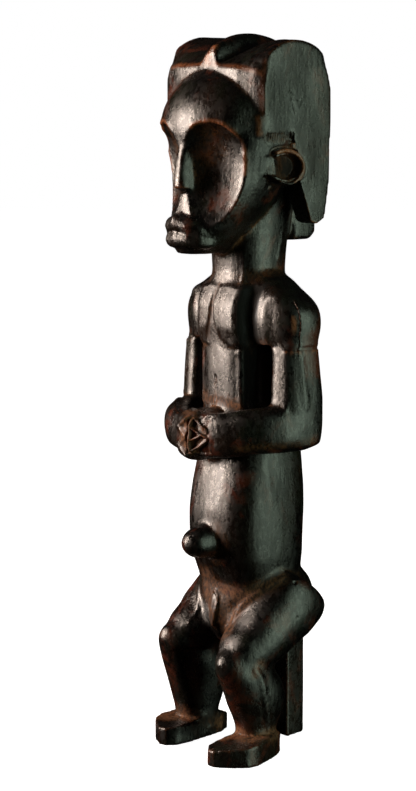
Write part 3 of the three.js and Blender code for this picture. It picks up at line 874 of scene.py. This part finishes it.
RIGHT_BAND = [(-42, -23, 476), (-26, -26.8, 478.1), (-2.9, -27.8, 478.9), (9.6, -27.8, 478.2)]
LEFT_BAND = [(11.4, -27.7, 478.2), (29.3, -25, 476.2), (48.3, -19.2, 471.6)]
LOBE_EDGE = [(48.9, -16.9, 480), (49.6, -17.5, 473.8), (48.5, -20.3, 456.3), (50.1, -19.2, 440.9)]
BAND_POINT = [(-1.1, -27.8, 480), (4, -27.8, 486), (7.5, -26, 492.1)]
SHOULDER_CORNER = [(58.5, 1.7, 307.6), (58.8, 1.9, 299.7)]
EAR_RING = [(52, -9, 419), (52, 1.5, 420.4), (52, 10, 418), (52, 15.6, 411), (52, 15, 404)]
EAR_RING += [(52, 9, 398.8)]
BOWL_TOP = [(46, 0, 415), (44, 8, 414)]
LEFT_SHIN = [(47, -18, 68), (46, -22, 62)]
RIGHT_ELBOW = [(-50, 5, 240), (-56, -4, 232), (-54, -10, 226)]
RIGHT_KNEE = [(-20, -47, 92), (-30, -50, 84), (-42, -44, 80)]
RUBBED_LINES = [
    (RIGHT_BAND, 2.0, 0.5),
    (LEFT_BAND, 2.0, 0.35),
    (LOBE_EDGE, 2.0, 0.15),
    (BAND_POINT, 3.0, 0.7),
    (SHOULDER_CORNER, 2.0, 1.0),
    (EAR_RING, 1.6, 0.7),
    (BOWL_TOP, 3.0, 0.25),
    (LEFT_SHIN, 4.0, 0.5),
    (RIGHT_ELBOW, 7.0, 0.8),
    (RIGHT_KNEE, 6.0, 0.7),
]
print(len(DUST_AND_LIGHT_LINES), "dusty lines and", len(RUBBED_LINES), "rubbed lines")

# %% Paint the dust, the rubbed places, the painted lit patch and the painted shade
def painted(lines):
    """How strongly each point belongs to a set of lines with their reach and strength."""
    amount = np.zeros(len(co))
    for line, reach, strength in lines:
        d = beside(smooth_line(line, 0.001), co, 1.6 * reach * MM)
        amount = np.maximum(amount, strength * falling(0.25 * reach * MM, 1.5 * reach * MM, d))
    return amount


brow = rim[(rim[:, 2] > 0.405) & (np.abs(rim[:, 0]) > 0.012)]
on_brow = 0.5 * falling(0.5 * MM, 3 * MM, beside(brow, co, 4 * MM))
# Painted shade: the gap between the trunk and the arm, the recess beside the chest and the back of
# each ear bowl are darkened where shade falls.
shade_in_gap = zone(places, x=(13, 37, 2), z=(246, 287, 1)) * rising(-14, -11, y)
shade_in_gap *= 1 - zone(places, x=(34.5, 60, 0.5)) * falling(-4, 0, y)
shade_in_recess = zone(places, x=(22, 31, 2.5), z=(287, 326, 5)) * falling(0, 8, y)
shade_in_ear = falling(0.6, 0.9, oval(y, z, EAR_Y + 1, 12, 8.5)) * rising(38, 40, from_middle)
shade_in_ear *= rising(-2, 5, y)
# The belly and the shins are made darker and duller.
on_belly, on_shins = zone(places, z=(120, 192, 14)), zone(places, z=(28, 80, 9))
darker_belly_and_shins = 0.38 * on_belly + 0.34 * on_shins
keep_number("painted_shade_and_dull", np.maximum.reduce([shade_in_gap, 0.85 * shade_in_recess, shade_in_ear, darker_belly_and_shins]))
keep_number("rubbed", np.maximum(painted(RUBBED_LINES), on_brow))
keep_number("dust_and_light", painted(DUST_AND_LIGHT_LINES))
keep_number("worn", np.clip(worn, 0, 1))
keep_number("hollow", np.clip(hollow, 0, 1))

# %% [markdown]
# ## Dark, oiled and smoked wood
# The colour is nearly black, with brown and red-brown patches, orange-brown where it is rubbed and
# tan dust in the deep creases. Fine streaks run up the log, and the sheen changes from place to
# place. An image would have to be wrapped round the figure and would stretch somewhere, so all of
# it comes from noise in the object's own coordinates, which runs through the wood like real grain.

# %% Nodes that make patterns
wood = bpy.data.materials.new("dark_wood")
wood.use_nodes = True
nodes, links = wood.node_tree.nodes, wood.node_tree.links
shader = nodes["Principled BSDF"]
object_place = nodes.new("ShaderNodeTexCoord").outputs["Object"]


def noise_at(scale, detail=3.0, roughness=0.55, distortion=0.0):
    """A noise field, with one scale for each axis."""
    mapping = nodes.new("ShaderNodeMapping")
    mapping.inputs["Scale"].default_value = scale
    links.new(object_place, mapping.inputs["Vector"])
    field = nodes.new("ShaderNodeTexNoise")
    field.inputs["Scale"].default_value = 1.0
    field.inputs["Detail"].default_value = detail
    field.inputs["Roughness"].default_value = roughness
    field.inputs["Distortion"].default_value = distortion
    links.new(mapping.outputs["Vector"], field.inputs["Vector"])
    return field.outputs["Fac"]


def stretch(value, low, high, to_low=0.0, to_high=1.0):
    """Spreads the range from low to high over the range from to_low to to_high."""
    node = nodes.new("ShaderNodeMapRange")
    node.interpolation_type = "SMOOTHSTEP"
    names = ("From Min", "From Max", "To Min", "To Max")
    for name, number in zip(names, (low, high, to_low, to_high)):
        node.inputs[name].default_value = number
    links.new(value, node.inputs["Value"])
    return node.outputs["Result"]


def number_on_mesh(name):
    node = nodes.new("ShaderNodeAttribute")
    node.attribute_name = name
    return node.outputs["Fac"]


print("patterns for", wood.name)

# %% Nodes that combine values and colours
def combine(operation, a, b):
    """A Math node on two values, each a socket or a plain number."""
    node = nodes.new("ShaderNodeMath")
    node.operation = operation
    node.use_clamp = operation == "MULTIPLY"
    for socket, value in zip(node.inputs, (a, b)):
        if isinstance(value, float):
            socket.default_value = value
        else:
            links.new(value, socket)
    return node.outputs[0]


def times(a, b):
    return combine("MULTIPLY", a, b)


def larger(a, b):
    return combine("MAXIMUM", a, b)


def blend(share, a, b):
    """Colour a where share is 0 and colour b where it is 1."""
    node = nodes.new("ShaderNodeMix")
    node.data_type = "RGBA"
    for socket, value in ((node.inputs[0], share), (node.inputs[6], a), (node.inputs[7], b)):
        if isinstance(value, tuple):
            socket.default_value = (*value, 1)
        else:
            links.new(value, socket)
    return node.outputs[2]


def bump(height, depth, strength, before=None):
    node = nodes.new("ShaderNodeBump")
    node.inputs["Distance"].default_value = depth
    node.inputs["Strength"].default_value = strength
    links.new(height, node.inputs["Height"])
    if before is not None:
        links.new(before, node.inputs["Normal"])
    return node.outputs["Normal"]


print("a colour, a value and a bump can be combined")

# %% [markdown]
# ## Colour
# The layers lie over each other in the order in which they came to the wood: a dark body of oil and
# soot, patches of brown, olive and red-brown, worn edges, dust, rubbed places and a last mottling
# of soot. Over them lies painted shade in the deep gaps, the chest recesses and the ear bowls, and
# it also darkens the belly and the shins. The tan of the dust also paints a lit patch at the front
# of each ear bowl. Each is a Mix node whose share comes from noise or from a number on the mesh, so
# any layer can be changed without touching the others.

# %% The wood's colour
SOOT_AND_SHADE = (0.0012, 0.0009, 0.0007)
BROWN = (0.0100, 0.0052, 0.0030)
OLIVE = (0.0070, 0.0074, 0.0040)
RED_BROWN = (0.075, 0.018, 0.0085)
RUBBED = (0.30, 0.095, 0.034)
DUST_AND_LIGHT = (0.15, 0.062, 0.025)

worn_here, hollow_here, rubbed_here, dust_and_light_here, shade_and_dull_here = (
    number_on_mesh(name) for name in ("worn", "hollow", "rubbed", "dust_and_light", "painted_shade_and_dull")
)
patches = noise_at((28, 28, 16), 4.0)
red_patches = noise_at((42, 42, 30), 5.0, 0.65, 0.6)
green_patches = noise_at((55, 50, 34), 4.0, 0.6, 0.4)
mottle = noise_at((240, 240, 150), 5.0, 0.7)
speckle = noise_at((620, 620, 420), 4.0, 0.7)
streaks = noise_at((520, 520, 36), 4.0, 0.6)
grain = stretch(speckle, 0.40, 0.58, 0.15, 1.0)

colour = blend(stretch(patches, 0.40, 0.68), SOOT_AND_SHADE, BROWN)
colour = blend(times(stretch(green_patches, 0.50, 0.66), 0.7), colour, OLIVE)
colour = blend(times(stretch(red_patches, 0.53, 0.68), 0.75), colour, RED_BROWN)
colour = blend(times(stretch(streaks, 0.45, 0.75), 0.2), colour, BROWN)
worn_share = times(times(worn_here, grain), stretch(red_patches, 0.34, 0.60, 0.2, 1.0))
colour = blend(worn_share, colour, RUBBED)
hollow_share = times(times(hollow_here, grain), stretch(patches, 0.38, 0.62, 0.05, 0.95))
colour = blend(hollow_share, colour, DUST_AND_LIGHT)
# Dust in the creases, and the painted lit patch at the front of each ear bowl.
dust_and_light_share = times(times(dust_and_light_here, grain), stretch(red_patches, 0.34, 0.60, 0.3, 1.0))
colour = blend(dust_and_light_share, colour, DUST_AND_LIGHT)
colour = blend(times(rubbed_here, stretch(mottle, 0.36, 0.56, 0.3, 1.0)), colour, RUBBED)
colour = blend(times(stretch(mottle, 0.52, 0.64), 0.6), colour, SOOT_AND_SHADE)
# Painted shade in the deep gaps, the chest recesses and the ear bowls; the belly and shins darker.
colour = blend(times(shade_and_dull_here, 0.85), colour, SOOT_AND_SHADE)
links.new(colour, shader.inputs["Base Color"])
print("the colour takes", len(nodes), "nodes")

# %% [markdown]
# ## Sheen and grain
# Oiled wood shines in patches and is dull where dust lies, where shade is painted and on the belly
# and the shins. A thin clear coat stands for the oil. The finest grain is too small for the mesh,
# so four bumps, from broad to fine, tilt the light on it. Values that are the same all over are set
# on the shader's own sockets.

# %% The wood's sheen and grain
SHEEN_TINT = (1.0, 0.90, 0.80, 1)
COAT, COAT_ROUGHNESS = 0.10, 0.25

sheen = stretch(mottle, 0.36, 0.64, 0.19, 0.40)
dull_here = larger(dust_and_light_here, shade_and_dull_here)
roughness = larger(sheen, stretch(dull_here, 0.1, 0.9, 0.0, 0.72))
links.new(roughness, shader.inputs["Roughness"])
links.new(stretch(dull_here, 0.1, 0.9, 0.5, 0.16), shader.inputs["Specular IOR Level"])
shader.inputs["Specular Tint"].default_value = SHEEN_TINT
shader.inputs["Coat Weight"].default_value = COAT
shader.inputs["Coat Roughness"].default_value = COAT_ROUGHNESS

surface = bump(noise_at((130, 130, 44), 3.0), 0.0012, 0.22)
surface = bump(mottle, 0.0007, 0.32, surface)
surface = bump(streaks, 0.0005, 0.32, surface)
surface = bump(speckle, 0.0005, 0.60, surface)
links.new(surface, shader.inputs["Normal"])
mesh.materials.append(wood)
mesh.shade_smooth()
print("the wood has", len(nodes), "nodes")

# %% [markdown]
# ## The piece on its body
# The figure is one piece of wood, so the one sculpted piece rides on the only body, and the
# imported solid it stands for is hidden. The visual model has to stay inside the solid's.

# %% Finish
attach(figure, "root")
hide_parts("figure")
